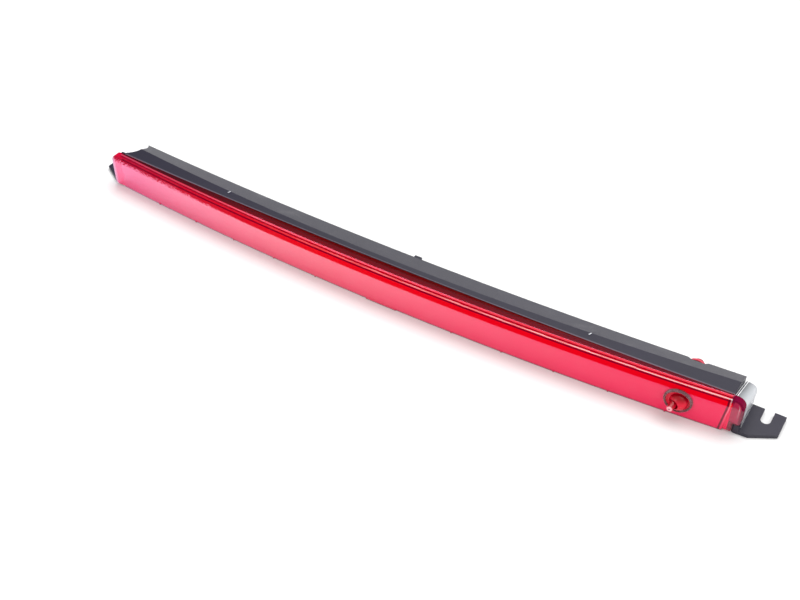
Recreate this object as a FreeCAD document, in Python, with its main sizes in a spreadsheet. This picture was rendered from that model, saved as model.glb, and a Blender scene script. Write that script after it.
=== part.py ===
"""High-mount brake lamp with an aimable rear washer jet, as an assembly of separate pieces.

Frame: +X along the lamp, +Y into the vehicle, +Z up, millimetres.
Origin: the middle of the housing's underside, in the plane of the feet's undersides and level
with the round ends of the mounting slots.
The lens is a channel swept about one upright axis, so every optical piece shares that axis.
"""
import FreeCAD, Part
import Sketcher
import math
import os

Vector = FreeCAD.Vector

DIMENSIONS = {
    # overall lamp
    "half_length": 240.0,
    "lens_half_length": 240.7,
    "fit_gap": 0.05,
    # lens: a swept channel, its face in front and its flanges running back to the rim
    "lens_radius": 2488.6,
    "lens_face_y": -31.0,
    "lens_top": 29.8,
    "lens_bevel_start": 21.2,
    "bead_start": 26.2,
    "bead_end": 28.1,
    "bead_radius": 1.3,
    "ridge_start": 28.6,
    "ridge_radius": 1.1,
    "lens_wall": 2.3,
    "lens_end_wall": 3.6,
    "lens_end_lean": 2.4,
    "lens_flange": 14.0,
    "rim_y": -20.6,
    "rim_sag": 4.5,
    "rim_radius": 6402.2,
    "seal_width": 1.0,
    # nibs under the lens face
    "nib_first": 18.0,
    "nib_pitch": 37.0,
    "nib_width": 0.9,
    "nib_proud": 0.6,
    "centre_tab": 24.0,
    # round-cornered ear at each end of the lens, taller and longer at the end without the jet
    "ear_start": 240.15,
    "ear_root": 238.3,
    "ear_end": 248.3,
    "ear_front": -18.6,
    "ear_back": -14.2,
    "ear_low": 8.0,
    "ear_top": 27.4,
    "ear_top_corner": 5.5,
    "ear_low_corner": 2.4,
    "ear_wall": 1.4,
    "skirt_end": 243.6,
    "skirt_low": 1.0,
    "plain_ear_end": 249.4,
    "plain_ear_front": -19.35,
    "plain_ear_low": 0.8,
    # housing: front lip, crease and rear edge, each with its own sag towards the ends
    "lip_z": 28.0,
    "crease_y": -14.2,
    "crease_sag": 12.8,
    "crease_z": 27.1,
    "rear_y": 3.6,
    "rear_sag": 8.4,
    "rear_z": 20.2,
    "wall": 2.2,
    "notch_x": 209.1,
    "notch_width": 13.6,
    "notch_depth": 2.6,
    "notch_floor": 15.8,
    # small details moulded on the housing
    "tab_x": 5.4,
    "tab_width": 5.4,
    "pip_x": 143.4,
    "pip_width": 0.5,
    "pip_length": 2.2,
    "pip_proud": 0.5,
    "rib_width": 1.6,
    "rib_depth": 2.6,
    "rib_height": 12.0,
    # round clearance above the foot at the end without the jet
    "scoop_x": 249.3,
    "scoop_y": -0.65,
    "scoop_radius": 15.0,
    "scoop_floor": 17.6,
    # optics and electronics, as distances behind the lens face
    "optic_low": 3.4,
    "optic_high": 25.0,
    "reflector_low": 8.0,
    "reflector_high": 19.8,
    "reflector_mouth": 24.8,
    "reflector_lip": 1.4,
    "boss_radius": 3.0,
    "boss_length": 17.0,
    "end_boss_radius": 3.3,
    "end_boss_length": 8.0,
    "tab_depth": 3.4,
    "tab_height": 3.2,
    "optic_start": 5.0,
    "optic_end": 7.0,
    "optic_reach": 3.2,
    "reflector_front": 8.0,
    "reflector_back": 12.8,
    "reflector_sheet": 1.0,
    "board_front": 15.0,
    "board_back": 16.2,
    "board_low": 4.6,
    "board_high": 23.2,
    "row_z": 13.9,
    "led_count": 24.0,
    "led_pitch": 15.6,
    "led_width": 3.5,
    "led_height": 2.8,
    "led_depth": 1.8,
    "screw_every": 6.0,
    "board_screw_radius": 1.2,
    "board_screw_length": 9.0,
    "board_screw_head": 2.2,
    "board_screw_head_height": 1.5,
    "drive_width": 0.7,
    "drive_depth": 0.8,
    "can_radius": 3.1,
    "can_height": 5.4,
    # electrical connector and breather in the back wall
    "socket_x": -70.0,
    "socket_z": 6.8,
    "socket_width": 16.0,
    "socket_height": 9.6,
    "socket_reach": 12.8,
    "socket_wall": 1.4,
    "socket_flange_width": 20.0,
    "socket_flange_height": 12.8,
    "gasket_sheet": 0.8,
    "pin_spacing": 5.0,
    "pin_width": 2.8,
    "pin_height": 0.8,
    "pin_length": 17.0,
    "pin_front": -5.6,
    "lead_radius": 0.8,
    "vent_x": 70.0,
    "vent_z": 9.0,
    "vent_bore": 6.4,
    "vent_cap_radius": 5.8,
    "vent_cap_reach": 3.6,
    "membrane_radius": 2.6,
    "membrane_sheet": 0.3,
    # foot bracket
    "foot_sheet": 2.8,
    "foot_inner": 245.7,
    "foot_outer": 270.2,
    "foot_back": 9.0,
    "foot_side_front": -8.2,
    "foot_nose_x": 254.3,
    "foot_nose_y": -17.3,
    "foot_corner_y": -17.8,
    "foot_lip_width": 4.4,
    "foot_lip_depth": 3.5,
    "foot_lip_top": 6.9,
    "plain_foot_shift": 2.8,
    "slot_x": 259.6,
    "slot_radius": 3.2,
    "web_start": 240.4,
    "web_front": -9.5,
    "web_back": 3.0,
    "web_top": 14.0,
    "bracket_screw_z": 8.5,
    "bracket_screw_front": -6.5,
    "bracket_screw_back": 0.3,
    "bracket_screw_radius": 1.45,
    "bracket_screw_length": 10.0,
    "bracket_screw_head": 2.8,
    "bracket_screw_head_height": 1.9,
    # clear end cover: its top falls from front to rear and rounds off at its outer end
    "cover_start": 240.3,
    "cover_end": 248.6,
    "cover_low": 2.85,
    "cover_front": -14.1,
    "cover_rear": 13.0,
    "cover_front_top": 27.2,
    "cover_rear_top": 15.4,
    "cover_wall": 1.2,
    "cover_rounding": 7.0,
    "plain_cover_front_top": 16.9,
    # washer jet, in a frame at the dome's centre, turned square to the lens face
    "jet_x": 210.3,
    "jet_z": 13.2,
    "jet_behind_face": 2.0,
    "ring_shift": -0.7,
    "ring_outer_radius": 9.2,
    "ring_depth": 2.0,
    "ring_slope": 1.2,
    "socket_front_radius": 7.6,
    "collar_radius": 8.5,
    "collar_front": 0.6,
    "collar_back": 10.0,
    "hole_lead": 6.0,
    "room_depth": 18.0,
    "turret_radius": 5.9,
    "turret_flange_radius": 6.6,
    "dome_forward": 2.5,
    "turret_step": 2.1,
    "turret_back": 4.2,
    "turret_bore": 2.0,
    "running_gap": 0.05,
    "ball_shift": -2.0,
    "ball_radius": 3.15,
    "jet_base_radius": 2.8,
    "jet_tip_radius": 1.8,
    "jet_reach": 9.4,
    "jet_rest_tilt": 10.0,
    "jet_tilt_travel": 8.0,
    "jet_aim_turn": 20.0,
    "jet_slot_gap": 0.25,
    "spray_radius": 0.55,
    "feed_radius": 1.1,
    "feed_length": 8.0,
    "stem_radius": 3.2,
    "stem_bore": 1.5,
    "stem_front": 4.3,
    "stem_step": 10.1,
    "stem_back": 12.0,
    "barb_radius": 4.2,
    "barb_length": 3.0,
    "stem_pocket_radius": 2.7,
    "stem_flange_radius": 7.3,
    "valve_front": 5.2,
    "valve_collar": 7.8,
    "valve_back": 9.9,
    "valve_radius": 2.6,
    "grommet_wall": 1.7,
    "grommet_lip": 3.0,
    "spigot_start": 11.0,
    "spigot_length": 25.3,
}

SHEET = "dims"

document = FreeCAD.newDocument("third_brake_light")
sheet = document.addObject("Spreadsheet::Sheet", SHEET)
for row, (alias, size) in enumerate(DIMENSIONS.items(), start=1):
    cell = "B%d" % row
    sheet.set("A%d" % row, alias)
    sheet.set(cell, str(size))
    sheet.setAlias(cell, alias)
document.recompute()

parts = []


# ---------------------------------------------------------------- helpers

def spelled(text):
    """An expression written with bare dimension names, as FreeCAD wants it."""
    words = []
    word = ""
    for letter in str(text) + " ":
        if letter.isalnum() or letter == "_":
            word += letter
            continue
        words.append(SHEET + "." + word if word in DIMENSIONS else word)
        words.append(letter)
        word = ""
    return "".join(words).strip()


def number(text):
    """The present value of an expression."""
    result = sheet.evalExpression(spelled(text))
    return float(getattr(result, "Value", result))


def bind(thing, prop, text):
    thing.setExpression(prop, spelled(text))


def keep(thing, label):
    """Names a finished piece; its label is its file name."""
    thing.Label = label
    parts.append(thing)
    return thing


def new_body(label):
    return keep(document.addObject("PartDesign::Body", label), label)


def origin_plane(body, role):
    return next(f for f in body.Origin.OriginFeatures if f.Role == role)


def set_place(thing, where, axis=None, angle=None):
    """Puts a thing at three expressions, turned about an axis by an expression in degrees."""
    turn = FreeCAD.Rotation()
    if axis is not None:
        turn = FreeCAD.Rotation(Vector(*axis), number(angle))
    thing.Placement = FreeCAD.Placement(Vector(*[number(w) for w in where]), turn)
    for letter, text in zip("xyz", where):
        bind(thing, "Placement.Base." + letter, text)


def profile(body, name, role, corners, arcs=None, offset=None, axis=None):
    """A closed sketch. Corners are pairs of expressions; arcs maps an edge's number to its
    radius expression, positive when the arc turns to the left along the edge's direction."""
    sketch = body.newObject("Sketcher::SketchObject", name)
    sketch.AttachmentSupport = (origin_plane(body, role), [""])
    sketch.MapMode = "FlatFace"
    if offset is not None:
        bind(sketch, "AttachmentOffset.Base.z", offset)
    points = [Vector(number(h), number(v), 0) for h, v in corners]
    count = len(points)
    starts = []
    ends = []
    for index in range(count):
        first = points[index]
        last = points[(index + 1) % count]
        if arcs and index in arcs:
            radius = number(arcs[index])
            chord = last - first
            left = Vector(-chord.y, chord.x, 0).normalize()
            rise = math.sqrt(radius ** 2 - (chord.Length / 2) ** 2)
            centre = (first + last) * 0.5 + left * math.copysign(rise, radius)
            begin = (first if radius > 0 else last) - centre
            finish = (last if radius > 0 else first) - centre
            circle = Part.Circle(centre, Vector(0, 0, 1), abs(radius))
            begin_angle = math.atan2(begin.y, begin.x)
            finish_angle = math.atan2(finish.y, finish.x)
            if finish_angle < begin_angle:
                finish_angle += 2 * math.pi
            sketch.addGeometry(Part.ArcOfCircle(circle, begin_angle, finish_angle))
            starts.append(1 if radius > 0 else 2)
            ends.append(2 if radius > 0 else 1)
        else:
            sketch.addGeometry(Part.LineSegment(first, last))
            starts.append(1)
            ends.append(2)
    for index in range(count):
        after = (index + 1) % count
        sketch.addConstraint(
            Sketcher.Constraint("Coincident", index, ends[index], after, starts[after]))
    for index, (h, v) in enumerate(corners):
        point = points[index]
        for kind, text, value in (("DistanceX", h, point.x), ("DistanceY", v, point.y)):
            made = sketch.addConstraint(
                Sketcher.Constraint(kind, -1, 1, index, starts[index], value))
            label = "%s_%d" % (kind, index)
            sketch.renameConstraint(made, label)
            bind(sketch, "Constraints." + label, text)
    for index, text in (arcs or {}).items():
        made = sketch.addConstraint(Sketcher.Constraint("Radius", index, abs(number(text))))
        sketch.renameConstraint(made, "Radius_%d" % index)
        bind(sketch, "Constraints.Radius_%d" % index, "abs(%s)" % text)
    if axis is not None:
        at = number(axis)
        line = sketch.addGeometry(Part.LineSegment(Vector(at, 0, 0), Vector(at, 10, 0)), True)
        made = sketch.addConstraint(Sketcher.Constraint("DistanceX", -1, 1, line, 1, at))
        sketch.renameConstraint(made, "axis_place")
        bind(sketch, "Constraints.axis_place", axis)
        sketch.addConstraint(Sketcher.Constraint("Vertical", line))
    return sketch


def checked(body, before, cut):
    """A feature that changed nothing is a mistake, so the volume is compared."""
    document.recompute()
    after = body.Shape.Volume
    if (cut and not after < before - 1e-6) or (not cut and not after > before + 1e-6):
        raise RuntimeError("%s: %s changed nothing" % (body.Label, body.Tip.Name))


def volume_of(body):
    return body.Shape.Volume if body.Tip else 0.0


def pad(body, sketch, length, reverse=False, midplane=False, cut=False):
    before = volume_of(body)
    kind = "Pocket" if cut else "Pad"
    feature = body.newObject("PartDesign::" + kind, sketch.Name + "_" + kind.lower())
    feature.Profile = sketch
    bind(feature, "Length", length)
    feature.Reversed = reverse
    feature.Midplane = midplane
    checked(body, before, cut)
    return feature


def pocket(body, sketch, length, reverse=False, midplane=False):
    return pad(body, sketch, length, reverse, midplane, cut=True)


def revolve(body, sketch, axis, angle="360", midplane=False, cut=False):
    """Turns a sketch about its own construction line, or about one of its axes."""
    before = volume_of(body)
    kind = "Groove" if cut else "Revolution"
    feature = body.newObject("PartDesign::" + kind, sketch.Name + "_" + kind.lower())
    feature.Profile = sketch
    feature.ReferenceAxis = (sketch, [axis])
    bind(feature, "Angle", angle)
    feature.Midplane = midplane
    checked(body, before, cut)
    return feature


def loft(body, name, sections, cut=False, ruled=False):
    """A loft through upright sections; each is its x, its corners and its arcs."""
    before = volume_of(body)
    sketches = [
        profile(body, "%s_%d" % (name, index), "YZ_Plane", corners, arcs, offset=station)
        for index, (station, corners, arcs) in enumerate(sections)]
    kind = "SubtractiveLoft" if cut else "AdditiveLoft"
    feature = body.newObject("PartDesign::" + kind, name)
    feature.Profile = sketches[0]
    feature.Sections = sketches[1:]
    feature.Ruled = ruled
    checked(body, before, cut)
    return feature


def block(body, name, size, where, cut=False, axis=None, angle=None):
    before = volume_of(body)
    kind = "SubtractiveBox" if cut else "AdditiveBox"
    feature = body.newObject("PartDesign::" + kind, name)
    for prop, text in zip(("Length", "Width", "Height"), size):
        bind(feature, prop, text)
    set_place(feature, where, axis, angle)
    checked(body, before, cut)
    return feature


def rod(body, name, radius, length, where, axis, angle, cut=False):
    """A cylinder that starts at a point and runs along its own turned z axis."""
    before = volume_of(body)
    kind = "SubtractiveCylinder" if cut else "AdditiveCylinder"
    feature = body.newObject("PartDesign::" + kind, name)
    bind(feature, "Radius", radius)
    bind(feature, "Height", length)
    set_place(feature, where, axis, angle)
    checked(body, before, cut)
    return feature


INTO_LAMP = FreeCAD.Rotation(Vector(1, 0, 0), -90)


def face_y(x):
    """Expression: the lens face's y at a given x."""
    return "(lens_face_y + lens_radius - sqrt(lens_radius^2 - (%s)^2))" % x


def rim_at(x):
    """Expression: the lens rim's y at a given x."""
    return "(rim_y + rim_radius - sqrt(rim_radius^2 - (%s)^2))" % x


def rear_at(x):
    """Expression: the housing rear wall's y at a given x."""
    return "(rear_y + rear_sag * ((%s) / half_length)^2)" % x


LENS_AXIS = "lens_face_y + lens_radius"
PITCH_ANGLE = "(led_pitch / (lens_radius - board_front) * 180 / pi)"


def behind(distance):
    """Expression: y at the lamp's middle, this far behind the lens face."""
    return "lens_face_y + (%s)" % distance


# ---------------------------------------------------------------- lens

def outer_lens():
    """The channel, with a groove, a round bead and a round ridge above its face."""
    body = new_body("outer_lens")
    back = behind("lens_flange")
    outside = profile(body, "lens_outside", "YZ_Plane", [
        (behind("0"), "0"), (behind("0"), "lens_bevel_start"),
        (behind("0.35"), "bead_start - 0.9"), (behind("0.75"), "bead_start"),
        (behind("0.9"), "bead_end"), (behind("1.15"), "ridge_start"),
        (behind("2.25"), "lens_top - 0.01"), (back, "lip_z"), (back, "0")],
        arcs={3: "-bead_radius", 5: "-ridge_radius"}, axis=LENS_AXIS)
    revolve(body, outside, "Axis0", "2 * asin(lens_half_length / lens_radius)", midplane=True)
    inside = profile(body, "lens_inside", "YZ_Plane", [
        (behind("lens_wall"), "lens_wall"), (behind("lens_wall"), "lens_bevel_start"),
        (behind("lens_wall + 0.5"), "lens_top - lens_wall - 0.6"),
        (behind("lens_flange + 1"), "lip_z - lens_wall"), (behind("lens_flange + 1"), "lens_wall")],
        axis=LENS_AXIS)
    revolve(body, inside, "Axis0", "2 * asin((lens_half_length - lens_end_wall) / lens_radius)",
            midplane=True, cut=True)
    trim_rear_of_lens(body)
    lean_jet_end(body)
    lens_ear(body, 1, "ear_end", "ear_front", "ear_low")
    lens_ear(body, -1, "plain_ear_end", "plain_ear_front", "plain_ear_low")
    block(body, "skirt", ("skirt_end - ear_root", "ear_wall", "ear_low + ear_wall - skirt_low"),
          ("ear_root", "ear_front", "skirt_low"))
    lens_nibs(body)
    jet_hole(body, "socket_hole", "socket_front_radius + 0.15", "collar_front + 5.4")


def trim_rear_of_lens(body):
    wide = "half_length + 10"
    outline = profile(body, "rim_trim", "XY_Plane", [
        ("-(%s)" % wide, rim_at(wide)), (wide, rim_at(wide)),
        (wide, "lens_flange + 10"), ("-(%s)" % wide, "lens_flange + 10")], arcs={0: "rim_radius"})
    pocket(body, outline, "4 * lens_top", midplane=True)


def lean_jet_end(body):
    """The end next to the jet leans: it is shorter at the bottom than where the bevel starts."""
    lean = "lens_end_lean / lens_bevel_start"
    block(body, "end_lean", ("6", "12", "lens_bevel_start / cos(atan(%s))" % lean),
          ("lens_half_length - lens_end_lean", "ear_front - 4", "0"),
          cut=True, axis=(0, 1, 0), angle="atan(%s)" % lean)


def ear_outline(body, name, side, start, end, low, inset, front):
    """An upright outline, round at its two outer corners, drawn in by an inset."""
    outer = "(%s - %s)" % (end, inset)
    bottom = "(%s + %s)" % (low, inset)
    top = "(ear_top - %s)" % inset
    low_corner = "(ear_low_corner - %s / 2)" % inset
    top_corner = "(ear_top_corner - %s / 2)" % inset
    corners = [
        (start, bottom), (outer + " - " + low_corner, bottom), (outer, bottom + " + " + low_corner),
        (outer, top + " - " + top_corner), (outer + " - " + top_corner, top), (start, top)]
    sided = [("%d * (%s)" % (side, x), z) for x, z in corners]
    turn = "" if side > 0 else "-"
    return profile(body, name, "XZ_Plane", sided, {1: turn + low_corner, 3: turn + top_corner},
                   offset="-(%s)" % front)


def lens_ear(body, side, end, front, low):
    """A skin that carries on from the lens's face, and behind it a rim, open to the rear."""
    name = "ear_right" if side > 0 else "ear_left"
    skin = ear_outline(body, name + "_skin", side, "ear_root", end, low, "0", front)
    pad(body, skin, "ear_wall", reverse=True)
    rim = ear_outline(body, name + "_rim", side, "ear_start", end, "ear_low", "0", front)
    pad(body, rim, "ear_back - (%s)" % front, reverse=True)
    hollow = ear_outline(body, name + "_hollow", side, "ear_start - 0.4", end, "ear_low",
                         "ear_wall", "%s + ear_wall" % front)
    pocket(body, hollow, "10")


def lens_nibs(body):
    """Small nibs along the bottom front edge, with one long tab at the middle."""
    def nib(name, x, width):
        block(body, name, (width, "nib_proud + 1", "1"),
              ("%s - (%s) / 2" % (x, width), face_y(x) + " - nib_proud", "0"))
    nib("middle_tab", "0", "centre_tab")
    for step in range(1, 6):
        for side in (1, -1):
            nib("nib_%d_%s" % (step, "right" if side > 0 else "left"),
                "%d * (nib_first + %d * nib_pitch)" % (side, step), "nib_width")


def lens_seal():
    body = new_body("lens_seal")
    half = "half_length - 0.6"
    front = rim_at(half) + " + fit_gap"
    back = rim_at(half) + " + seal_width"
    outline = profile(body, "seal_plan", "XY_Plane", [
        ("-(%s)" % half, front), (half, front), (half, back), ("-(%s)" % half, back)],
        arcs={0: "rim_radius", 2: "-rim_radius"})
    pad(body, outline, "lip_z - 0.4")
    body.Placement.Base = Vector(0, 0, 0.2)
    inner = "half_length - lens_wall - 0.6"
    window = profile(body, "seal_window", "XZ_Plane", [
        ("-(%s)" % inner, "lens_wall"), (inner, "lens_wall"),
        (inner, "lip_z - lens_wall - 0.6"), ("-(%s)" % inner, "lip_z - lens_wall - 0.6")])
    pocket(body, window, "200", midplane=True)


# ---------------------------------------------------------------- housing

def housing_sections(right, left, inset):
    """Sections at both ends and the middle; the inset gives the hollow, open to the front."""
    sections = []
    for station in ("-(%s)" % left, "0", right):
        grow = "((%s) / half_length)^2" % station
        front = "rim_y + seal_width + fit_gap + rim_sag * %s" % grow
        crease = "crease_y + crease_sag * %s" % grow
        rear = "rear_y + rear_sag * %s - %s" % (grow, inset)
        if inset == "0":
            low, lip, fold, edge = "-1", "lip_z", "crease_z", "rear_z"
        else:
            front += " - 3"
            low, lip, fold, edge = inset, "lip_z - wall", "crease_z - wall", "rear_z - 0.7 * wall"
        corners = [(front, low), (front, lip), (crease, fold), (rear, edge), (rear, low)]
        sections.append((station, corners, None))
    return sections


def rear_housing():
    body = new_body("rear_housing")
    loft(body, "shell", housing_sections("half_length", "half_length", "0"))
    block(body, "underside", ("2 * half_length + 20", "80", "2"), ("-half_length - 10", "-40", "-2"),
          cut=True)
    loft(body, "hollow", housing_sections(
        "half_length - wall - 0.2", "scoop_x - scoop_radius - wall", "wall"), cut=True)
    notch_for_stem(body)
    board_bosses(body)
    back_wall_openings(body)
    end_wall_bosses(body)
    scoop_over_foot(body)
    outside_details(body)


def notch_for_stem(body):
    """A notch in the rear edge over the washer stem, closed inside by its own wall."""
    rear = rear_at("notch_x")
    left, right = "notch_x - notch_width / 2", "notch_x + notch_width / 2"
    floor = rear + " - notch_depth"
    block(body, "notch_wall", ("notch_width + 2 * wall", "notch_depth + wall", "rear_z - 2"),
          (left + " - wall", floor + " - wall", "1"))
    outline = profile(body, "notch_plan", "XY_Plane", [
        (left + " - 2", rear + " + 1.6"), (left + " + 3.4", floor), (right + " - 1.6", floor),
        (right + " + 0.8", rear + " + 1.6")], offset="notch_floor")
    pocket(body, outline, "rear_z", reverse=True)


def scoop_over_foot(body):
    """A round clearance above the foot, and the stub of front lip left standing beside it."""
    rod(body, "scoop", "scoop_radius", "lens_top", ("-scoop_x", "scoop_y", "scoop_floor"),
        (0, 0, 1), "0", cut=True)
    block(body, "lip_stub", ("4", "1.5", "lip_z - 0.5 - scoop_floor"),
          ("-half_length - 3.8", "ear_back + 0.1", "scoop_floor"))


def radial(place, distance, height):
    """A point on the optics' common axis system: an angle along the lamp, a distance behind
    the lens face and a height."""
    angle = math.radians(number(place))
    radius = number("lens_radius - (%s)" % distance)
    centre = number(LENS_AXIS)
    return Vector(radius * math.sin(angle), centre - radius * math.cos(angle), number(height))


def board_screw_places():
    """Angles of the board's four screws, between neighbouring light sources."""
    return ["%s * screw_every * %s" % (step, PITCH_ANGLE) for step in ("-1.5", "-0.5", "0.5", "1.5")]


def placed_rod(body, name, radius, length, placement, cut=False):
    """A cylinder at a placement that is worked out from the sheet."""
    before = volume_of(body)
    kind = "SubtractiveCylinder" if cut else "AdditiveCylinder"
    feature = body.newObject("PartDesign::" + kind, name)
    bind(feature, "Radius", radius)
    bind(feature, "Height", length)
    feature.Placement = placement
    checked(body, before, cut)


def radial_rod(body, name, radius, length, place, distance, cut=False):
    """A rod that starts behind the lens face and runs towards the lens's axis."""
    turn = FreeCAD.Rotation(Vector(0, 0, 1), number(place))
    placement = FreeCAD.Placement(radial(place, distance, "row_z"), turn.multiply(INTO_LAMP))
    placed_rod(body, name, radius, length, placement, cut)


def board_bosses(body):
    for index, place in enumerate(board_screw_places()):
        radial_rod(body, "boss_%d" % index, "boss_radius", "boss_length", place, "board_back + fit_gap")
        radial_rod(body, "pilot_%d" % index, "board_screw_radius + fit_gap",
                   "board_screw_length + 2", place, "board_back", cut=True)


def back_wall_openings(body):
    centred_block(body, "socket_opening", "socket_width - 2 * socket_wall + 0.2",
                  "socket_height - socket_wall - 0.2", "rear_y - 6", "12", cut=True)
    rod(body, "vent_opening", "vent_bore / 2", "12", ("vent_x", "rear_y - 6", "vent_z"),
        (1, 0, 0), "-90", cut=True)
    start = spigot_place().Base
    rod(body, "stem_opening", "stem_radius + grommet_wall + 0.1", "30", (str(start.x), "-2", "jet_z"),
        (1, 0, 0), "-90", cut=True)


def end_wall_bosses(body):
    for side in (1, -1):
        for name, y in (("front", "bracket_screw_front"), ("back", "bracket_screw_back")):
            label = "%s_%s" % (name, "right" if side > 0 else "left")
            rod(body, "end_boss_" + label, "end_boss_radius", "end_boss_length",
                ("%d * (half_length - 9)" % side, y, "bracket_screw_z"), (0, 1, 0), str(90 * side))
            rod(body, "end_pilot_" + label, "bracket_screw_radius + fit_gap", "12",
                ("%d * (half_length - 11)" % side, y, "bracket_screw_z"), (0, 1, 0), str(90 * side),
                cut=True)


def outside_details(body):
    """Locating tab on the rear edge, two moulded pips near the crease, ribs on the back wall."""
    block(body, "rear_tab", ("tab_width", "tab_depth", "tab_height"),
          ("tab_x", "rear_y - 1.2", "rear_z - 3.3"))
    for side in (1, -1):
        name = "pip_right" if side > 0 else "pip_left"
        block(body, name, ("pip_width", "pip_length", "2 * pip_proud"),
              ("%d * pip_x" % side,
               "crease_y + crease_sag * (pip_x / half_length)^2 - pip_length - 0.2",
               "crease_z - 0.7 * pip_proud"), axis=(0, 0, 1), angle="-25")
    for step in (-6, -5, -4, -3, -1, 0, 1, 3, 4, 5):
        x = "%d * half_length / 7" % step
        block(body, "rib_%d" % (step + 6), ("rib_width", "rib_depth", "rib_height"),
              (x + " - rib_width / 2", rear_at(x) + " - 1.2", "0.6"))


# ---------------------------------------------------------------- optics and electronics

def strip(label, corners, ends):
    """A piece swept about the lens's axis, reaching a number of pitches past the row's ends."""
    body = new_body(label)
    section = profile(body, label + "_section", "YZ_Plane", corners, axis=LENS_AXIS)
    feature = body.newObject("PartDesign::Revolution", label + "_sweep")
    feature.Profile = section
    feature.ReferenceAxis = (section, ["Axis0"])
    bind(feature, "Angle", "(led_count - 1 + 2 * (%s)) * %s" % (ends, PITCH_ANGLE))
    feature.Midplane = True
    document.recompute()
    return body


def inner_optic():
    body = strip("inner_optic", [
        (behind("optic_start"), "optic_low"), (behind("optic_start"), "optic_high"),
        (behind("optic_end"), "optic_high"), (behind("optic_end"), "optic_low")], "optic_reach")
    room_for_jet(body)


def room_for_jet(body):
    """A round clearance for the jet's body."""
    jet_hole(body, body.Label + "_jet_room", "collar_radius + 0.5", "room_depth")


def row_window_cutters(prefix, width, height, depth, distance, places):
    """Boxes centred on the row, one at each angle, as tools for a cut."""
    tools = []
    for index, place in enumerate(places):
        box = document.addObject("Part::Box", "%s_%d" % (prefix, index))
        bind(box, "Length", width)
        bind(box, "Width", depth)
        bind(box, "Height", height)
        turn = FreeCAD.Rotation(Vector(0, 0, 1), number(place))
        corner = Vector(-number(width) / 2, 0, -number(height) / 2)
        start = radial(place, distance, "row_z") + turn.multVec(corner)
        box.Placement = FreeCAD.Placement(start, turn)
        tools.append(box)
    return tools


def led_places():
    total = int(number("led_count"))
    return ["(%d - (led_count - 1) / 2) * %s" % (index, PITCH_ANGLE) for index in range(total)]


def compound(name, members):
    group = document.addObject("Part::Compound", name)
    group.Links = members
    return group


def cut_from(label, base, tool):
    parts.remove(base)
    base.Label = label + "_uncut"
    result = document.addObject("Part::Cut", label)
    result.Base = base
    result.Tool = tool
    return keep(result, label)


def reflector():
    """A folded bright channel that opens towards the lens, with a window for each light source."""
    front = behind("reflector_front")
    back = behind("reflector_back")
    floor = behind("reflector_back - reflector_sheet")
    body = strip("reflector", [
        (front, "optic_low"), (back, "reflector_low"),
        (back, "reflector_high"), (front, "reflector_mouth"),
        (front, "reflector_mouth - reflector_lip"), (floor, "reflector_high - 1"),
        (floor, "reflector_low + 1"), (front, "optic_low + reflector_lip")], "optic_reach")
    room_for_jet(body)
    windows = row_window_cutters("reflector_window", "led_width + 0.8", "led_height + 0.8", "4",
                                 "reflector_back - reflector_sheet - 1", led_places())
    cut_from("reflector", body, compound("reflector_windows", windows))


def circuit_board():
    board = strip("circuit_board", [
        (behind("board_front"), "board_low"), (behind("board_front"), "board_high"),
        (behind("board_back"), "board_high"), (behind("board_back"), "board_low")], "0.7")
    for index, place in enumerate(board_screw_places()):
        radial_rod(board, "board_hole_%d" % index, "board_screw_radius + 0.25", "4", place,
                   "board_front - 1", cut=True)


def row_of_boxes(label, width, height, depth, distance, places, lift="0"):
    """Identical rectangular parts on the board, one node, one solid each."""
    boxes = row_window_cutters(label, width, height, depth, distance, places)
    for box in boxes:
        box.Placement.Base.z += number(lift)
    return keep(compound(label + "_group", boxes), label)


def leds():
    row_of_boxes("leds", "led_width", "led_height", "led_depth",
                 "board_front - led_depth - fit_gap", led_places())


def board_parts():
    back = "board_back + fit_gap"
    row_of_boxes("resistors", "3.2", "1.6", "0.6", back,
                 ["%s * %s" % (step, PITCH_ANGLE) for step in
                  (-11, -10, -8, -7, -5, -2, 1, 4, 5, 7, 8, 10)], lift="5")
    row_of_boxes("driver_chip", "6.2", "5.0", "1.6", back, ["-0.2 * " + PITCH_ANGLE],
                 lift="-2.4")
    row_of_boxes("protection_diode", "4.4", "2.7", "2.2", back, ["-5.4 * " + PITCH_ANGLE],
                 lift="4.6")
    cans = []
    for index, step in enumerate((1.2, 2.1)):
        can = document.addObject("Part::Cylinder", "capacitor_%d" % index)
        bind(can, "Radius", "can_radius")
        bind(can, "Height", "can_height")
        place = "%s * %s" % (step, PITCH_ANGLE)
        turn = FreeCAD.Rotation(Vector(0, 0, 1), number(place))
        spot = radial(place, back, "row_z - 3")
        can.Placement = FreeCAD.Placement(spot, turn.multiply(INTO_LAMP))
        cans.append(can)
    keep(compound("capacitors_group", cans), "capacitors")


def tool_box(name, size, corner):
    box = document.addObject("Part::Box", name)
    for prop, text in zip(("Length", "Width", "Height"), size):
        bind(box, prop, text)
    set_place(box, corner)
    return box


def boolean(kind, name, base, tool):
    result = document.addObject("Part::" + kind, name)
    result.Base = base
    result.Tool = tool
    return result


def upright_cylinder(name, radius, height, start):
    cylinder = document.addObject("Part::Cylinder", name)
    bind(cylinder, "Radius", radius)
    bind(cylinder, "Height", height)
    set_place(cylinder, ("0", "0", start))
    return cylinder


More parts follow.
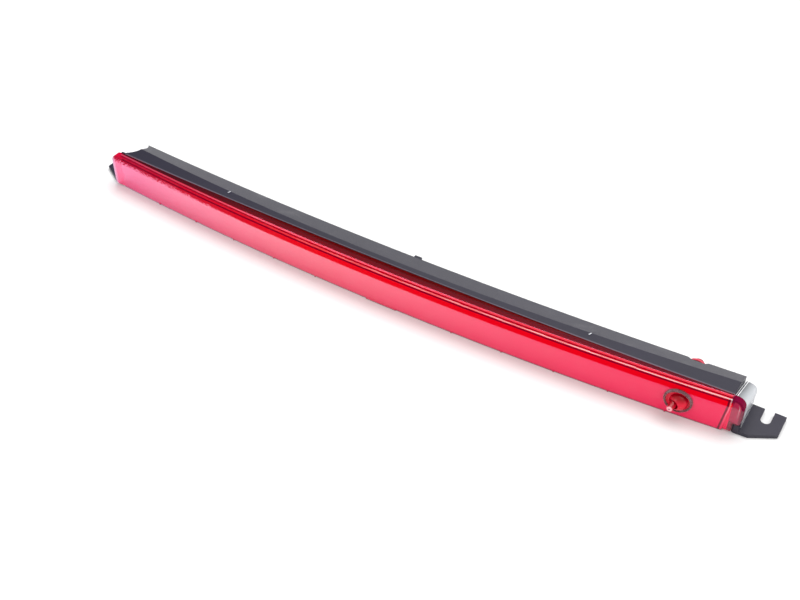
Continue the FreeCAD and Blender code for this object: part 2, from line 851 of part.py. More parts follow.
def pan_screw(name, kind):
    """A round-headed screw along its own z: the shank runs up from the head's underside."""
    head = kind + "_head"
    head_height = kind + "_head_height"
    blank = boolean("Fuse", name + "_blank",
                    upright_cylinder(name + "_top", head, head_height, "-" + head_height),
                    upright_cylinder(name + "_shank", kind + "_radius", kind + "_length", "0"))
    along = tool_box(name + "_drive_along", (head, "drive_width", "drive_depth"),
                     ("-%s / 2" % head, "-drive_width / 2", "-" + head_height))
    across = tool_box(name + "_drive_across", ("drive_width", head, "drive_depth"),
                      ("-drive_width / 2", "-%s / 2" % head, "-" + head_height))
    return boolean("Cut", name, blank, boolean("Fuse", name + "_drive", along, across))


def placed_screw(screw, where, rotation):
    """Moves a whole screw; its parts keep their own places inside it."""
    screw.Placement = FreeCAD.Placement(where, rotation)
    return screw


def board_screws():
    screws = []
    for index, place in enumerate(board_screw_places()):
        turn = FreeCAD.Rotation(Vector(0, 0, 1), number(place))
        spot = radial(place, "board_front - fit_gap", "row_z")
        screw = pan_screw("board_screw_%d" % index, "board_screw")
        screws.append(placed_screw(screw, spot, turn.multiply(INTO_LAMP)))
    keep(compound("board_screws_group", screws), "board_screws")


def centred_block(body, name, width, height, start, length, cut=False):
    """A block along Y on the connector's axis."""
    block(body, name, (width, length, height),
          ("socket_x - (%s) / 2" % width, start, "socket_z - (%s) / 2" % height), cut=cut)


def connector_parts():
    """A gasket and a two-pin socket through the back wall, its pins reaching inside."""
    flange_front = "rear_y + 1.9"
    plug = ("socket_width - 2 * socket_wall - 0.2", "socket_height - socket_wall - 0.6")
    gasket = new_body("connector_gasket")
    centred_block(gasket, "gasket_outline", "socket_flange_width", "socket_flange_height",
                  flange_front + " - fit_gap - gasket_sheet", "gasket_sheet")
    centred_block(gasket, "gasket_hole", plug[0] + " + 0.4", plug[1] + " + 0.4", "rear_y", "3",
                  cut=True)
    socket = new_body("connector_socket")
    centred_block(socket, "socket_flange", "socket_flange_width", "socket_flange_height",
                  flange_front, "socket_wall")
    centred_block(socket, "socket_plug", plug[0], plug[1], "rear_y - 5", "7.4")
    centred_block(socket, "socket_shroud", "socket_width", "socket_height",
                  flange_front, "socket_reach - (%s)" % flange_front)
    centred_block(socket, "socket_mouth", "socket_width - 2 * socket_wall",
                  "socket_height - 2 * socket_wall", "socket_reach - 6.6", "10", cut=True)
    pins = []
    for index, side in enumerate((-1, 1)):
        centre = "socket_x + %d * pin_spacing / 2" % side
        block(socket, "pin_slot_%d" % index, ("pin_width + 0.1", "30", "pin_height + 0.1"),
              (centre + " - pin_width / 2 - 0.05", "-8", "socket_z - pin_height / 2 - 0.05"),
              cut=True)
        pins.append(tool_box("terminal_pin_%d" % index, ("pin_width", "pin_length", "pin_height"),
                             (centre + " - pin_width / 2", "pin_front", "socket_z - pin_height / 2")))
    keep(compound("terminal_pins_group", pins), "terminal_pins")


def lead(label, side):
    """An insulated lead, bowed from a terminal pin to its pad on the board."""
    start = Vector(number("socket_x + %d * pin_spacing / 2" % side), number("pin_front") - 0.15,
                   number("socket_z"))
    pad_place = "%s * %s" % (-4.55 + 0.8 * side, PITCH_ANGLE)
    finish = radial(pad_place, "board_back + 0.1", "row_z - 1")
    middle = (start + finish) * 0.5 + Vector(0.8 * side, 0.6, 1.5)
    straight = Vector(0, -6, 0)
    curve = Part.BSplineCurve()
    curve.interpolate([start, middle, finish], Tangents=[straight, Vector(0, -4, 4), straight],
                      TangentFlags=[True, False, True])
    spine = Part.Wire([curve.toShape()])
    ring = Part.Wire([Part.makeCircle(number("lead_radius"), start, Vector(0, -1, 0))])
    wire = document.addObject("Part::Feature", label)
    wire.Shape = spine.makePipeShell([ring], True, True)
    keep(wire, label)


def vent_parts():
    """A breather: a mushroom cap pressed into the back wall, with a membrane disc in its face."""
    press = "vent_bore / 2 - fit_gap"
    cap = new_body("vent_cap")
    outline = profile(cap, "vent_half", "XY_Plane", [
        ("1.6", "-2.6"), (press, "-2.6"), (press, "1.2"), ("vent_cap_radius", "1.2"),
        ("vent_cap_radius", "vent_cap_reach - 1"), ("vent_cap_radius - 1", "vent_cap_reach"),
        ("1.6", "vent_cap_reach")])
    revolve(cap, outline, "V_Axis")
    rod(cap, "membrane_seat", "membrane_radius + 0.1", "1.6", ("0", "vent_cap_reach - 1", "0"),
        (1, 0, 0), "-90", cut=True)
    membrane = new_body("vent_membrane")
    rod(membrane, "membrane_disc", "membrane_radius", "membrane_sheet",
        ("0", "vent_cap_reach - 1 + fit_gap", "0"), (1, 0, 0), "-90")
    for piece in (cap, membrane):
        set_place(piece, ("vent_x", rear_at("vent_x"), "vent_z"))


# ---------------------------------------------------------------- ends

def end_bracket(label, side, shift):
    """A slotted foot with an upright web against the housing's end; shift moves the foot in."""
    body = new_body(label)

    def out(x, by=shift):
        return "%d * (%s - %s)" % (side, x, by)

    left = "slot_x - slot_radius"
    right = "slot_x + slot_radius"
    corners = [
        (out("web_start", "0"), "web_front"), (out("foot_inner"), "web_front"),
        (out("foot_inner"), "foot_corner_y"), (out("foot_nose_x"), "foot_nose_y"),
        (out("foot_outer"), "foot_side_front"), (out("foot_outer"), "foot_back"),
        (out(right), "foot_back"), (out(right), "0"), (out(left), "0"), (out(left), "foot_back"),
        (out("web_start + foot_sheet", "0"), "foot_back"),
        (out("web_start + foot_sheet", "0"), "web_back"), (out("web_start", "0"), "web_back")]
    turn = "-" if side > 0 else ""
    plate = profile(body, label + "_plan", "XY_Plane", corners, {7: turn + "slot_radius * 1.00001"})
    pad(body, plate, "foot_sheet")
    web_left = "web_start" if side > 0 else "-web_start - foot_sheet"
    block(body, label + "_web", ("foot_sheet", "web_back - web_front", "web_top"),
          (web_left, "web_front", "0"))
    lip_edge = "foot_inner - 1.8"
    lip_left = out(lip_edge) if side > 0 else out(lip_edge + " + foot_lip_width")
    block(body, label + "_lip", ("foot_lip_width", "foot_lip_depth", "foot_lip_top"),
          (lip_left, "foot_corner_y", "0"))
    for name, y in (("front", "bracket_screw_front"), ("back", "bracket_screw_back")):
        rod(body, "%s_hole_%s" % (label, name), "bracket_screw_radius + 0.2", "8",
            ("%d * (web_start - 1)" % side, y, "bracket_screw_z"), (0, 1, 0), str(90 * side),
            cut=True)
    near = out(lip_edge)
    soften(body, label + "_lip_round", 1.6, lambda e: on_line(e, x=near, y="foot_corner_y")
           or on_line(e, x=near, z="foot_lip_top") or on_line(e, y="foot_corner_y", z="foot_lip_top"))
    soften(body, label + "_web_round", 2.5, lambda e: on_line(e, y="web_front", z="web_top")
           or on_line(e, y="web_back", z="web_top"))


def on_line(edge, **places):
    """Whether every end of an edge lies at the given coordinates."""
    return all(abs(getattr(v, axis.upper()) - number(text)) < 0.01
               for v in edge.Vertexes for axis, text in places.items())


def soften(body, name, radius, chosen):
    document.recompute()
    tip = body.Tip
    names = ["Edge%d" % (i + 1) for i, edge in enumerate(tip.Shape.Edges) if chosen(edge)]
    if not names:
        raise RuntimeError(name + " found no edge")
    feature = body.newObject("PartDesign::Fillet", name)
    feature.Base = (tip, names)
    feature.Radius = radius
    document.recompute()


def bracket_screws():
    screws = []
    for side in (1, -1):
        for y in ("bracket_screw_front", "bracket_screw_back"):
            x = side * number("web_start + foot_sheet + fit_gap")
            spot = Vector(x, number(y), number("bracket_screw_z"))
            screw = pan_screw("bracket_screw_%d" % len(screws), "bracket_screw")
            inwards = FreeCAD.Rotation(Vector(0, 1, 0), -90 * side)
            screws.append(placed_screw(screw, spot, inwards))
    keep(compound("bracket_screws_group", screws), "bracket_screws")


def cover_sections(side, front_top, inset):
    """Upright sections from the housing outwards: how far out, how much lower, how far tucked in."""
    sections = []
    for out, drop, tuck in (("cover_start", "0", "0"), ("cover_end - 4", "0.3", "0.1"),
                            ("cover_end - 1", "cover_rounding / 2", "0.7"),
                            ("cover_end", "cover_rounding", "2.2")):
        rear = "cover_rear - %s - %s" % (tuck, inset)
        front = "cover_front"
        low = "cover_low"
        x = out
        if inset != "0":
            front += " - 3"
            low += " - 3"
            x = "cover_start - 1" if out == "cover_start" else "%s - %s" % (out, inset)
        sections.append(("%d * (%s)" % (side, x), [
            (front, low), (front, "%s - %s - %s" % (front_top, drop, inset)),
            (rear, "cover_rear_top - 0.5 * %s - %s" % (drop, inset)), (rear, low)], None))
    return sections


def end_cover(label, side, front_top):
    """A clear shell over the end of the housing, open to the front, to the housing and below."""
    body = new_body(label)
    loft(body, label + "_shell", cover_sections(side, front_top, "0"))
    loft(body, label + "_hollow", cover_sections(side, front_top, "cover_wall"), cut=True)


# ---------------------------------------------------------------- washer jet

JET_TURN = "asin(jet_x / lens_radius)"


def jet_place(shift=0.0, along=0.0):
    """The jet's own frame: its origin at the dome's centre, its -Y square out of the lens."""
    turn = FreeCAD.Rotation(Vector(0, 0, 1), number(JET_TURN))
    centre = Vector(number("jet_x"), number(face_y("jet_x")), number("jet_z"))
    centre += turn.multVec(Vector(shift, number("jet_behind_face") + along, 0))
    return FreeCAD.Placement(centre, turn)


def jet_hole(body, name, radius, depth):
    """A round hole on the trim ring's axis, from well in front of the lens to a depth."""
    place = jet_place(number("ring_shift"), -number("hole_lead"))
    placed_rod(body, name, radius, "hole_lead + " + depth,
               FreeCAD.Placement(place.Base, place.Rotation.multiply(INTO_LAMP)), cut=True)


def turned(label, outline, shift="0"):
    """A round piece on the jet's axis, or on a parallel axis shifted along the lamp."""
    body = new_body(label)
    sketch = profile(body, label + "_half", "XY_Plane",
                     [("%s + (%s)" % (shift, r), y) for r, y in outline], axis=shift)
    revolve(body, sketch, "Axis0")
    body.Placement = jet_place()
    return body


def nozzle_ring():
    """A trim ring on the lens face, dished towards the dome."""
    face = "-jet_behind_face - fit_gap"
    turned("nozzle_ring", [
        ("socket_front_radius + fit_gap", face), ("ring_outer_radius", face),
        ("ring_outer_radius", face + " - ring_depth * 0.4"),
        ("ring_outer_radius - 0.8", face + " - ring_depth"),
        ("ring_outer_radius - ring_slope", face + " - ring_depth"),
        ("socket_front_radius + fit_gap", face + " - 0.5")], shift="ring_shift")


def nozzle_body():
    """The fixed housing of the washer jet, through the lens, with a bore for the turret."""
    front = "-jet_behind_face - 0.6"
    body = turned("nozzle_body", [
        ("0", front), ("socket_front_radius", front), ("socket_front_radius", "collar_front"),
        ("collar_radius", "collar_front"), ("collar_radius", "collar_back"),
        ("0", "collar_back")], shift="ring_shift")
    bore = profile(body, "turret_bore", "XY_Plane", [
        ("0", front + " - 1"), ("turret_radius + running_gap", front + " - 1"),
        ("turret_radius + running_gap", "turret_step - 0.1"),
        ("turret_flange_radius + running_gap", "turret_step - 0.1"),
        ("turret_flange_radius + running_gap", "collar_back + 1"), ("0", "collar_back + 1")])
    revolve(body, bore, "V_Axis", cut=True)


def nozzle_turret():
    """The dome that turns in the jet's body and carries the jet's ball off its own axis."""
    body = new_body("nozzle_turret")
    dome = profile(body, "dome_half", "XY_Plane", [
        ("0", "-dome_forward - turret_radius"), ("turret_radius", "-dome_forward"),
        ("turret_radius", "turret_step"),
        ("turret_flange_radius", "turret_step"), ("turret_flange_radius", "turret_back"),
        ("0", "turret_back")], arcs={0: "turret_radius"})
    revolve(body, dome, "V_Axis")
    seat = body.newObject("PartDesign::SubtractiveSphere", "ball_seat")
    bind(seat, "Radius", "ball_radius + running_gap")
    bind(seat, "Placement.Base.x", "ball_shift")
    bind(seat, "Placement.Base.y", "-dome_forward")
    rod(body, "rear_bore", "turret_bore", "turret_back + 2", ("ball_shift / 2", "0", "0"),
        (1, 0, 0), "-90", cut=True)
    slot_for_jet(body)
    body.Placement = jet_place()


def jet_aim(tilt):
    """The jet's place in the turret's frame: from the ball's centre, aimed inwards and down."""
    angle = math.radians(tilt)
    swing = math.radians(number("jet_aim_turn"))
    aim = Vector(-math.cos(swing) * math.sin(angle), -math.cos(angle),
                 -math.sin(swing) * math.sin(angle))
    centre = Vector(number("ball_shift"), -number("dome_forward"), 0)
    return centre, aim


def slot_for_jet(body):
    """The jet sweeps across the dome, so the dome is open over the whole sweep."""
    for name, share in (("upper", -1), ("middle", 0), ("lower", 1)):
        centre, aim = jet_aim(number("jet_rest_tilt") + share * number("jet_tilt_travel"))
        turn = FreeCAD.Rotation(Vector(0, 0, 1), aim)
        placed_rod(body, "sweep_" + name, "jet_base_radius + jet_slot_gap", "jet_reach",
                   FreeCAD.Placement(centre, turn), cut=True)


def jet_tip():
    """A ball with a tapering tube and a spray hole, aimed down and towards the lamp's middle."""
    body = new_body("jet_tip")
    edge = "sqrt(ball_radius^2 - jet_base_radius^2)"
    outline = profile(body, "jet_half", "XY_Plane", [
        ("0", "ball_radius"), ("0", "-jet_reach + 0.4"), ("spray_radius + 0.3", "-jet_reach"),
        ("jet_tip_radius - 0.4", "-jet_reach"), ("jet_tip_radius", "-jet_reach + 0.4"),
        ("jet_base_radius", "-(%s)" % edge)], arcs={5: "ball_radius"})
    revolve(body, outline, "V_Axis")
    rod(body, "spray_hole", "spray_radius", "2 * jet_reach", ("0", "jet_reach", "0"),
        (1, 0, 0), "90", cut=True)
    rod(body, "feed_hole", "feed_radius", "feed_length", ("0", "feed_length / 2", "0"),
        (1, 0, 0), "90", cut=True)
    centre, aim = jet_aim(number("jet_rest_tilt"))
    turn = FreeCAD.Rotation(Vector(0, -1, 0), aim)
    body.Placement = jet_place().multiply(FreeCAD.Placement(centre, turn))


def spigot_place():
    """Where the spigot leaves the jet's axis to run straight back, its z axis along it."""
    place = jet_place(0, number("spigot_start"))
    return FreeCAD.Placement(place.Base, INTO_LAMP)


def nozzle_stem():
    """The turret's rear closure, with a hose spigot that runs straight back through the housing."""
    body = turned("nozzle_stem", [
        ("stem_pocket_radius", "stem_front"), ("turret_flange_radius", "stem_front"),
        ("turret_flange_radius", "stem_step"), ("stem_flange_radius", "stem_step"),
        ("stem_flange_radius", "stem_back"), ("0", "stem_back"), ("0", "stem_back - 2"),
        ("stem_pocket_radius", "stem_back - 2")])
    local = jet_place().inverse().multiply(spigot_place())
    placed_rod(body, "spigot", "stem_radius", "spigot_length - 0.5", local)
    barb = body.newObject("PartDesign::AdditiveCone", "barb")
    bind(barb, "Radius1", "barb_radius")
    bind(barb, "Radius2", "stem_radius - 0.4")
    bind(barb, "Height", "barb_length")
    lift = Vector(0, 0, number("spigot_length - barb_length"))
    barb.Placement = local.multiply(FreeCAD.Placement(lift, FreeCAD.Rotation()))
    back = FreeCAD.Placement(Vector(0, 0, -3), FreeCAD.Rotation())
    placed_rod(body, "spigot_bore", "stem_bore", "spigot_length + 6", local.multiply(back), cut=True)


def check_valve():
    """A rubber duckbill in the stem's front pocket: a collar behind two closed lips."""
    turned("check_valve", [
        ("0.35", "valve_front"), ("0.9", "valve_front"), ("1.5", "valve_collar"),
        ("valve_radius", "valve_collar"), ("valve_radius", "valve_back"),
        ("1.0", "valve_back"), ("1.0", "valve_back - 1.5")])


def stem_grommet():
    """A rubber grommet round the spigot, its lip on the outside of the housing's back wall."""
    body = new_body("stem_grommet")
    inner = "stem_radius + fit_gap"
    groove = "stem_radius + grommet_wall"
    lip = "stem_radius + grommet_lip"
    section = profile(body, "grommet_half", "XY_Plane", [
        (inner, "-4.4"), (groove, "-4.4"), (groove, "0.4"), (lip, "0.4"), (lip, "1.8"),
        (inner, "1.8")])
    revolve(body, section, "V_Axis")
    x = str(spigot_place().Base.x)
    set_place(body, (x, rear_at(x), "jet_z"))


# ---------------------------------------------------------------- build

outer_lens()
lens_seal()
rear_housing()
inner_optic()
reflector()
circuit_board()
leds()
board_parts()
board_screws()
connector_parts()
lead("lead_supply", 1)
lead("lead_ground", -1)
vent_parts()
end_bracket("end_bracket_right", 1, "0")
end_bracket("end_bracket_left", -1, "plain_foot_shift")
bracket_screws()
end_cover("end_cap_right", 1, "cover_front_top")
end_cover("end_cap_left", -1, "plain_cover_front_top")
nozzle_ring()
nozzle_body()
nozzle_turret()
jet_tip()
nozzle_stem()
check_valve()
stem_grommet()

document.recompute()
problems = []
for thing in document.Objects:
    if "Invalid" in thing.State or "Error" in thing.State:
        problems.append("%s %s" % (thing.Label, thing.State))
for piece in parts:
    if piece.Shape.isNull() or not piece.Shape.isValid() or not piece.Shape.Solids:
        problems.append("%s has no valid solid" % piece.Label)
if problems:
    raise SystemExit("\n".join(problems))

os.makedirs("parts", exist_ok=True)
for piece in parts:
    piece.Shape.exportStep(os.path.join("parts", piece.Label + ".step"))
    print("%-20s solids %2d  volume %10.1f"
          % (piece.Label, len(piece.Shape.Solids), piece.Shape.Volume))
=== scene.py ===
"""Looks for the high-mount brake lamp: materials, small surface details, studio and camera.

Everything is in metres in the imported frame: +X along the lamp, +Y into the vehicle, +Z up.
The jet sits near the +X end; the other end is called the plain end.
A named pair of places says where a detail fades in, or where it starts and ends.
"""
import math
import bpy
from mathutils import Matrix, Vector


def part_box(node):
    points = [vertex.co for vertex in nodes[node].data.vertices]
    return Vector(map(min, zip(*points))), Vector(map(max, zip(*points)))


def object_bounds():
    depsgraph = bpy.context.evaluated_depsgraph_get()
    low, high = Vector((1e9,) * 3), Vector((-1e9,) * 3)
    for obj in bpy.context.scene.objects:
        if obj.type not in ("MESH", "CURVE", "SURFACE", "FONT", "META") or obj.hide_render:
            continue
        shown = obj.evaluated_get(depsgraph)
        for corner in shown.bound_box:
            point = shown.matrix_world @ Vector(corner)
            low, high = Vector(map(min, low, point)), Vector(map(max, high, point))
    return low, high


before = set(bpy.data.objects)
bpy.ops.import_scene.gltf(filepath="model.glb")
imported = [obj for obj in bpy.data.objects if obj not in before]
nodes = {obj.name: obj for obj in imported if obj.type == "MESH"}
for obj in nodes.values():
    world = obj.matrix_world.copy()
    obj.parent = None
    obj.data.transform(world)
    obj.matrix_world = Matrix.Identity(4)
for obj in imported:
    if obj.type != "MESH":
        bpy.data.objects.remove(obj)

from types import SimpleNamespace

import bpy
from mathutils import Vector

MM = 0.001
WHITE = (1, 1, 1, 1)
MIX_FACTOR, MIX_FIRST, MIX_SECOND = 0, 6, 7  # the Mix node's sockets when it mixes colours

cad_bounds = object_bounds()


# ---------------------------------------------------------------- node helpers

class Shader:
    """A thin wrapper that keeps a material's node tree short to write."""

    def __init__(self, name):
        self.material = bpy.data.materials.new(name)
        self.material.use_nodes = True
        self.tree = self.material.node_tree
        self.tree.nodes.clear()
        self.output = self.add("ShaderNodeOutputMaterial")

    def add(self, kind, **values):
        node = self.tree.nodes.new(kind)
        for key, value in values.items():
            setattr(node, key, value)
        return node

    def link(self, source, target):
        self.tree.links.new(source, target)

    def feed(self, target, value):
        """Links another node's output to an input, or sets a plain value."""
        if isinstance(value, bpy.types.NodeSocket):
            self.link(value, target)
        else:
            target.default_value = value

    def fill(self, node, **values):
        """Feeds inputs by name, with underscores for spaces."""
        for key, value in values.items():
            self.feed(node.inputs[key.replace("_", " ")], value)
        return node

    def coordinates(self):
        return self.add("ShaderNodeTexCoord").outputs["Object"]

    def noise(self, scale, detail, roughness=0.5, stretch=(1, 1, 1)):
        mapping = self.fill(self.add("ShaderNodeMapping"), Vector=self.coordinates(), Scale=stretch)
        node = self.fill(self.add("ShaderNodeTexNoise"), Vector=mapping.outputs["Vector"],
                         Scale=scale, Detail=detail, Roughness=roughness)
        return node.outputs["Fac"]

    def ramp(self, factor, low, high, bottom=0.0, top=1.0):
        """Maps factor from low..high to bottom..top, clamped."""
        node = self.add("ShaderNodeMapRange", clamp=True)
        self.fill(node, Value=factor, From_Min=low, From_Max=high, To_Min=bottom, To_Max=top)
        return node.outputs["Result"]

    def fade(self, mask, off, on):
        """Goes from off to on as a mask goes from 0 to 1."""
        return self.ramp(mask, 0.0, 1.0, off, on)

    def pulse(self, value, low, high, soft):
        """One between low and high, fading to nothing over a soft distance on both sides."""
        rise = self.ramp(value, low - soft, low + soft)
        fall = self.ramp(value, high - soft, high + soft, 1.0, 0.0)
        return self.maths("MULTIPLY", rise, fall)

    def place(self):
        """The point's x, y and z in the part's frame, in metres."""
        split = self.add("ShaderNodeSeparateXYZ")
        self.link(self.coordinates(), split.inputs[0])
        return split.outputs["X"], split.outputs["Y"], split.outputs["Z"]

    def blend(self, factor, first, second):
        node = self.add("ShaderNodeMix", data_type="RGBA")
        self.feed(node.inputs[MIX_FACTOR], factor)
        self.feed(node.inputs[MIX_FIRST], first)
        self.feed(node.inputs[MIX_SECOND], second)
        return node.outputs[2]

    def maths(self, operation, *values):
        node = self.add("ShaderNodeMath", operation=operation)
        for socket, value in zip(node.inputs, values):
            self.feed(socket, value)
        return node.outputs[0]

    def bump(self, height, strength, distance):
        node = self.fill(self.add("ShaderNodeBump"), Height=height, Strength=strength,
                         Distance=distance)
        return node.outputs["Normal"]

    def upward(self):
        """How far the surface faces up: 1 on a level top, 0 on a wall."""
        normal = self.add("ShaderNodeSeparateXYZ")
        self.link(self.add("ShaderNodeNewGeometry").outputs["Normal"], normal.inputs[0])
        return normal.outputs["Z"]

    def facing(self, blend):
        """Near 1 where the surface is seen edge-on, and near 0 where it is seen squarely."""
        return self.fill(self.add("ShaderNodeLayerWeight"), Blend=blend).outputs["Facing"]

    def fresnel(self, **values):
        return self.fill(self.add("ShaderNodeFresnel"), **values).outputs[0]

    def clear(self, tint):
        return self.fill(self.add("ShaderNodeBsdfTransparent"), Color=tint).outputs[0]

    def milk(self, colour, **values):
        return self.fill(self.add("ShaderNodeBsdfDiffuse"), Color=colour, **values).outputs[0]

    def mirror(self, colour, **values):
        return self.fill(self.add("ShaderNodeBsdfGlossy"), Color=colour, **values).outputs[0]

    def principled(self, **values):
        return self.fill(self.add("ShaderNodeBsdfPrincipled"), **values).outputs[0]

    def mix(self, factor, first, second):
        node = self.add("ShaderNodeMixShader")
        for socket, value in zip(node.inputs, (factor, first, second)):
            self.feed(socket, value)
        return node.outputs[0]

    def finish(self, surface):
        self.link(surface, self.output.inputs["Surface"])
        return self.material


def linear(red, green, blue):
    """A display colour, 0 to 255, as the linear colour that a shader takes, by the sRGB curve."""
    channels = []
    for value in (red, green, blue):
        share = value / 255
        channels.append(share / 12.92 if share <= 0.04045 else ((share + 0.055) / 1.055) ** 2.4)
    return (*channels, 1.0)


# ---------------------------------------------------------------- black mouldings

LIP_HEIGHT = (27.86 * MM, 27.95 * MM)
PIP_ALONG = (142.1 * MM, 145.0 * MM)
PIP_BACK = (-12.3 * MM, -9.3 * MM)
PIP_HEIGHT = (27.46 * MM, 27.56 * MM)
PIP_EDGE = 0.1 * MM
DULL_ALONG = (-200 * MM, 60 * MM)
NEARLY_LEVEL = (0.95, 0.97)


def pip_tip_highlights(s, along, back, height):
    """A mask for painted highlights on the tips of the two pips on top of the housing."""
    pips = s.pulse(s.maths("ABSOLUTE", along), *PIP_ALONG, PIP_EDGE)
    raised = s.maths("MULTIPLY", pips, s.ramp(height, *PIP_HEIGHT))
    return s.maths("MULTIPLY", raised, s.pulse(back, *PIP_BACK, PIP_EDGE))


def moulded_black(name, shade, grain_scale=2600.0, roughness=0.42):
    """Black moulded plastic: fine grain, slow colour drift and rubbed patches.

    Painted highlights: a paler line along the housing's lip and white tips on its pips. Its level top
    is duller at the plain end.
    """
    lip_highlight_grey = linear(104, 94, 106)
    pip_highlight_white = linear(225, 228, 235)
    s = Shader(name)
    grain = s.noise(grain_scale, 2.0)
    rubbed = s.ramp(s.noise(60.0, 5.0, 0.6), 0.56, 0.72)
    rough = s.maths("ADD", s.ramp(grain, 0.3, 0.7, roughness - 0.05, roughness + 0.07),
                    s.maths("MULTIPLY", rubbed, -0.08))
    darker = linear(*[channel * 0.85 for channel in shade])
    lighter = linear(*[channel * 1.15 for channel in shade])
    colour = s.blend(s.noise(18.0, 4.0), darker, lighter)
    along, back, height = s.place()
    # Painted highlight: the housing's lip is painted paler.
    lip = s.ramp(height, *LIP_HEIGHT)
    colour = s.blend(s.maths("MULTIPLY", lip, 0.8), colour, lip_highlight_grey)
    # Painted highlights: white tips on the pips.
    colour = s.blend(pip_tip_highlights(s, along, back, height), colour, pip_highlight_white)
    dull = s.maths("MULTIPLY", s.ramp(s.upward(), *NEARLY_LEVEL),
                   s.ramp(along, *DULL_ALONG, 1.0, 0.0))
    return s.finish(s.principled(Base_Color=colour, Roughness=rough, IOR=1.5,
                                 Specular_IOR_Level=s.fade(dull, 0.5, 0.24),
                                 Normal=s.bump(grain, 0.25, 0.04 * MM)))


# ---------------------------------------------------------------- red lens

LENS_ENDS = (239.9 * MM, 240.3 * MM)
BOTTOM_SHADE_HEIGHT = (0.5 * MM, 1.1 * MM)
BAND_HEIGHT = (20.6 * MM, 21.7 * MM)
LOWER_GROOVE = (25.2 * MM, 26.2 * MM)
BEAD_HEIGHT = (26.7 * MM, 27.6 * MM)
FLANGE_HEIGHT = (27.7 * MM, 27.9 * MM)
UPPER_GROOVE = (28.15 * MM, 28.7 * MM)
RIDGE_HEIGHT = (28.9 * MM, 29.3 * MM)
RIDGE_TOP = (28.9 * MM, 29.2 * MM)
FLANGE_LEVEL = (0.95, 0.985)
GROOVE_EDGE = 0.25 * MM
BEAD_EDGE = 0.3 * MM


def lens_lines(s, along, height):
    """Masks for the grooves' painted shade, the bead and ridge, which stop at the lens's ends, and the
    bottom edge's painted shade.
    """
    between = s.ramp(s.maths("ABSOLUTE", along), *LENS_ENDS, 1.0, 0.0)
    # Painted shade in the two grooves, below and above the bead.
    groove_shade = s.maths("MAXIMUM", s.pulse(height, *LOWER_GROOVE, GROOVE_EDGE),
                     s.pulse(height, *UPPER_GROOVE, GROOVE_EDGE))
    bead = s.pulse(height, *BEAD_HEIGHT, BEAD_EDGE)
    ridge = s.ramp(height, *RIDGE_HEIGHT)
    # Painted shade along the lens's bottom edge, where it meets the floor.
    bottom_edge_shade = s.ramp(height, *BOTTOM_SHADE_HEIGHT, 1.0, 0.0)
    return [s.maths("MULTIPLY", mask, between) for mask in (groove_shade, bead, ridge)] + [bottom_edge_shade]


END_WALL_ALONG = 240.7 * MM
END_WALL_LEAN = 2.4 * MM
LEAN_HEIGHT = 21.2 * MM
END_LINES_TOP = (27.4 * MM, 27.8 * MM)
DARK_INSET = (1.4 * MM, 2.6 * MM)
LIGHT_INSET = (0.5 * MM, 1.1 * MM)


def lens_end_lines(s, along, height):
    """Masks for the leaning wall at the jet's end: a dark line of painted shade, then a light one."""
    lean = s.ramp(height, 0.0, LEAN_HEIGHT, END_WALL_LEAN, 0.0)
    inset = s.maths("SUBTRACT", END_WALL_ALONG, s.maths("ADD", along, lean))
    below = s.ramp(height, *END_LINES_TOP, 1.0, 0.0)
    # Painted shade: a dark line just inside the end wall.
    dark = s.pulse(inset, *DARK_INSET, 0.25 * MM)
    light = s.pulse(inset, *LIGHT_INSET, 0.2 * MM)
    return s.maths("MULTIPLY", dark, below), s.maths("MULTIPLY", light, below)


EAR_ALONG = (240.9 * MM, 241.3 * MM)
EAR_CORNER_ALONG = 242.8 * MM
EAR_CORNER_HEIGHT = 21.9 * MM
EAR_OUTLINE = (3.6 * MM, 4.3 * MM)
EAR_GLINT = (2.6 * MM, 3.1 * MM)
GLINT_ALONG = (244.5 * MM, 246.5 * MM)
GLINT_HEIGHT = (12 * MM, 20 * MM)
NOTCH_ALONG = (239.8 * MM, 242.0 * MM)
NOTCH_HEIGHT = (23 * MM, 25.5 * MM)


def ear_lines(s, along, height):
    """Masks for the round ear at the jet's end: the ear, painted shade along its outline, a dark notch
    in that outline, and a glint.
    """
    corner = s.add("ShaderNodeCombineXYZ")
    s.link(s.maths("MAXIMUM", s.maths("SUBTRACT", along, EAR_CORNER_ALONG), 0.0), corner.inputs[0])
    s.link(s.maths("MAXIMUM", s.maths("SUBTRACT", height, EAR_CORNER_HEIGHT), 0.0), corner.inputs[1])
    length = s.add("ShaderNodeVectorMath", operation="LENGTH")
    s.link(corner.outputs[0], length.inputs[0])
    reach = length.outputs["Value"]
    ear = s.ramp(along, *EAR_ALONG)
    # Painted shade along the ear's outline, where its walls are seen edge-on.
    outline = s.maths("MULTIPLY", s.ramp(reach, *EAR_OUTLINE), ear)
    glint = s.maths("MULTIPLY", s.pulse(reach, *EAR_GLINT, 0.2 * MM), s.ramp(along, *GLINT_ALONG))
    glint = s.maths("MULTIPLY", glint, s.ramp(height, *GLINT_HEIGHT))
    notch = s.maths("MULTIPLY", s.pulse(along, *NOTCH_ALONG, 0.3 * MM),
                    s.ramp(height, *NOTCH_HEIGHT))
    return ear, s.maths("MAXIMUM", outline, notch), glint


RAGGED_ALONG = (-190 * MM, -110 * MM)
RAGGED_DEPTH = (-3.4 * MM, 0.6 * MM)
PLAIN_END_ALONG = (-230 * MM, -60 * MM)


